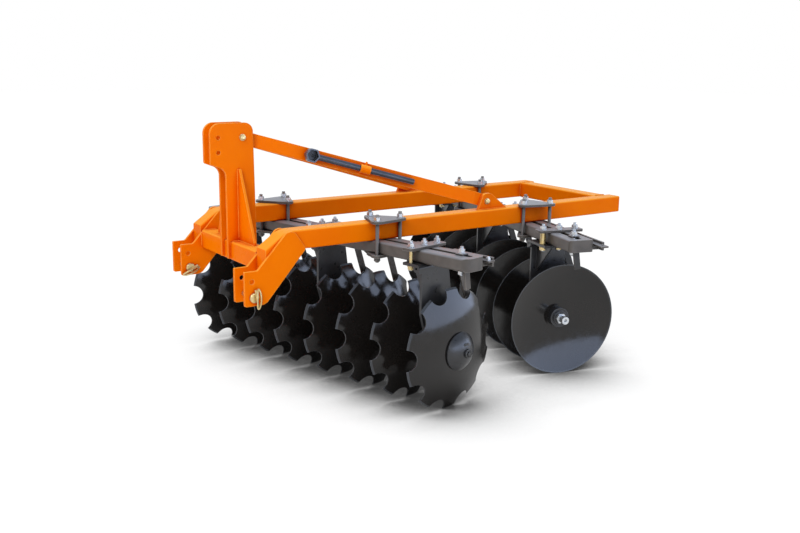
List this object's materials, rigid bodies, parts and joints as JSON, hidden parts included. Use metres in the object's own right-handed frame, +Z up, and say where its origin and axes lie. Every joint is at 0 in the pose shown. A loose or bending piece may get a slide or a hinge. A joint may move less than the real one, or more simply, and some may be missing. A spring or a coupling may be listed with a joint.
{
  "type": "mounted disc harrow",
  "caption": "Tractor-mounted offset disc harrow: box-section frame with hitch mast and braces, carrying two angled gangs of dished discs that turn on square axles.",
  "frame": {"origin": "middle of the footprint, on the ground under the discs", "axes": "+X is the way of travel, towards the hitch; +Y is the machine's left side; +Z is up"},
  "size_m": [2.3231, 1.9474, 1.26],
  "materials": {
    "orange_paint": "gloss orange enamel",
    "dark_steel": "dark grey painted steel",
    "dark_casting": "black painted casting",
    "disc_steel": "gloss black lacquered disc steel",
    "white_zinc": "bright zinc plating",
    "yellow_zinc": "yellow zinc plating",
    "tool_steel": "blued tool steel"
  },
  "bodies": {
    "frame": {"side_beam_left": "orange_paint", "side_beam_right": "orange_paint", "front_cross_beam": "orange_paint", "rear_cross_beam": "orange_paint", "mast_plate_left": "orange_paint", "mast_plate_right": "orange_paint", "mast_gussets": "orange_paint", "link_plates_left": "orange_paint", "link_plates_right": "orange_paint", "link_pin_left": "yellow_zinc", "link_pin_right": "yellow_zinc", "brace_left": "orange_paint", "brace_right": "orange_paint", "brace_lugs": "orange_paint", "brace_bolts": "white_zinc", "spanner_holder": "orange_paint", "spanner": "tool_steel", "front_gang_beam": "dark_steel", "rear_gang_beam": "dark_steel", "front_clamp_plates": "dark_steel", "rear_clamp_plates": "dark_steel", "front_clamp_rods": "white_zinc", "rear_clamp_rods": "white_zinc", "front_hangers": "dark_casting", "rear_hangers": "dark_casting", "front_straps": "dark_steel", "rear_straps": "dark_steel", "front_strap_bolts": "white_zinc", "rear_strap_bolts": "white_zinc", "front_housings": "dark_casting", "rear_housings": "dark_casting", "front_scraper_bar": "dark_steel", "rear_scraper_bar": "dark_steel", "front_scrapers": "dark_steel", "rear_scrapers": "dark_steel", "front_end_bolts": "white_zinc", "rear_end_bolts": "white_zinc"},
    "front_gang": {"front_discs": "disc_steel", "front_spools": "dark_casting", "front_end_washers": "dark_casting", "front_axle": "dark_casting"},
    "rear_gang": {"rear_discs": "disc_steel", "rear_spools": "dark_casting", "rear_end_washers": "dark_casting", "rear_axle": "white_zinc"}
  },
  "joints": [
    {"name": "front_gang_spin", "type": "hinge", "parent": "frame", "child": "front_gang", "pos_m": [0.46454, 0.02583, 0.28], "axis": [-0.1994, 0.9799, 0], "continuous": true},
    {"name": "rear_gang_spin", "type": "hinge", "parent": "frame", "child": "rear_gang", "pos_m": [-0.64046, 0.02583, 0.28], "axis": [0.2756, 0.9613, 0], "continuous": true}
  ]
}
